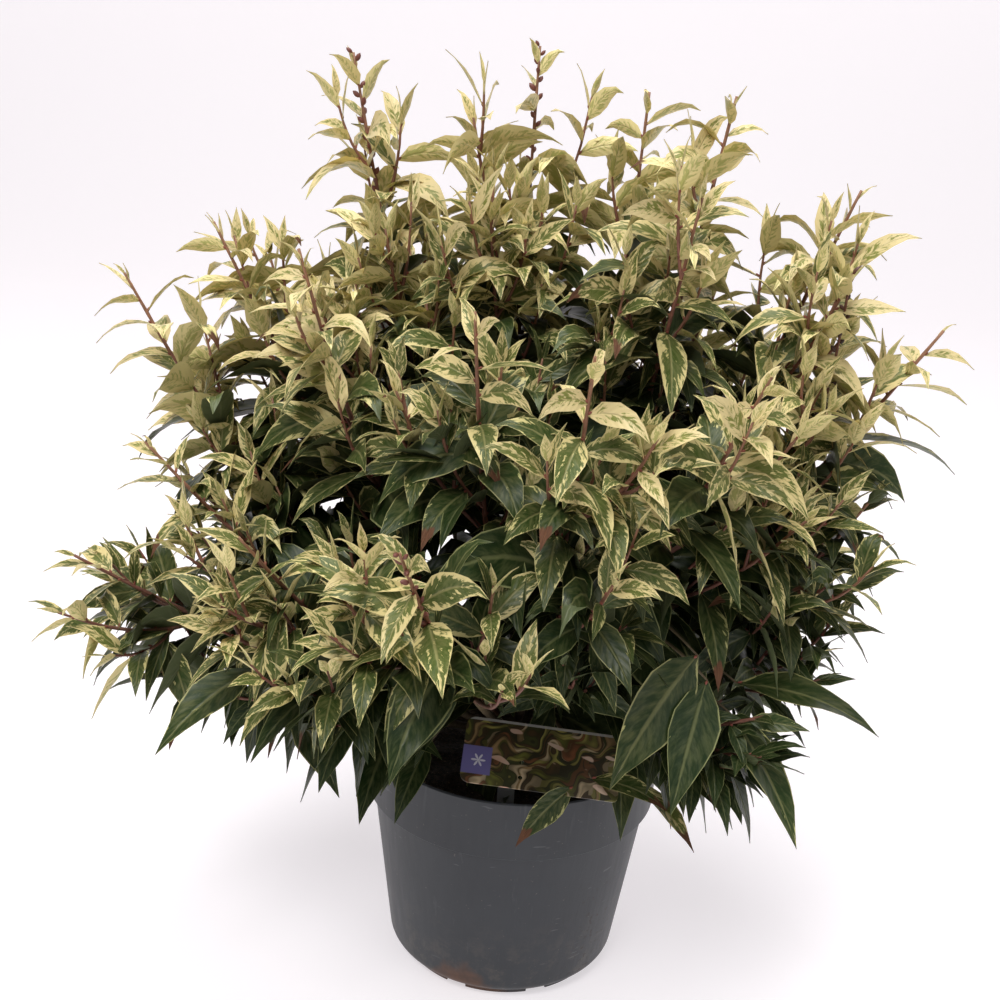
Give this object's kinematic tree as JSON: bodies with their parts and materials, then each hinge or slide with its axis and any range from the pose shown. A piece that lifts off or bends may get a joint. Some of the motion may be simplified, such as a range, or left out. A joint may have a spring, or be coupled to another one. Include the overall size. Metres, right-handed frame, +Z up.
{
  "type": "potted variegated drooping laurel",
  "caption": "Bushy variegated evergreen shrub with arching canes, drooping lance-shaped leaves and short bud racemes, in a round grey nursery pot.",
  "frame": {"origin": "centre of the pot's flat underside, on the surface that it stands on", "axes": "+Z up along the pot's axis, -Y towards the side with the plant label, +X to the right seen from that side"},
  "size_m": [0.5287, 0.4614, 0.5665],
  "materials": {
    "pot_plastic": "cool dark grey moulded plastic, matte, with faint scuffs and dust",
    "peat": "damp dark potting peat, crumbly and matte",
    "bark": "thin brown bark, greener and then red towards the shoots",
    "foliage": "leathery green leaves marbled and edged with cream, satin above and dull below, on red-brown twigs",
    "label": "thin printed plastic with a soft gloss and a foliage-like print",
    "stake": "clear greyish plastic strip"
  },
  "bodies": {
    "root": {"cane_back_1": "bark", "cane_back_2": "bark", "cane_back_3": "bark", "cane_back_4": "bark", "cane_back_5": "bark", "cane_centre_right": "bark", "cane_centre_tall": "bark", "cane_front_centre": "bark", "cane_front_left": "bark", "cane_front_low": "bark", "cane_front_right": "bark", "cane_front_right_low": "bark", "cane_left_far": "bark", "cane_left_front": "bark", "cane_left_low": "bark", "cane_left_mid": "bark", "cane_left_outer": "bark", "cane_left_shoulder": "bark", "cane_left_side": "bark", "cane_left_tall": "bark", "cane_right_low": "bark", "cane_right_outer": "bark", "cane_right_shoulder": "bark", "cane_right_side": "bark", "cane_right_tall": "bark", "foliage_back_1": "foliage", "foliage_back_2": "foliage", "foliage_back_3": "foliage", "foliage_back_4": "foliage", "foliage_back_5": "foliage", "foliage_centre_right": "foliage", "foliage_centre_tall": "foliage", "foliage_front_centre": "foliage", "foliage_front_left": "foliage", "foliage_front_low": "foliage", "foliage_front_right": "foliage", "foliage_front_right_low": "foliage", "foliage_inner_back": "foliage", "foliage_inner_left": "foliage", "foliage_inner_right": "foliage", "foliage_left_far": "foliage", "foliage_left_front": "foliage", "foliage_left_low": "foliage", "foliage_left_mid": "foliage", "foliage_left_outer": "foliage", "foliage_left_shoulder": "foliage", "foliage_left_side": "foliage", "foliage_left_tall": "foliage", "foliage_right_low": "foliage", "foliage_right_outer": "foliage", "foliage_right_shoulder": "foliage", "foliage_right_side": "foliage", "foliage_right_tall": "foliage", "label_plate": "label", "label_stake": "stake", "pot": "pot_plastic", "short_stem": "bark", "soil": "peat"}
  },
  "joints": []
}
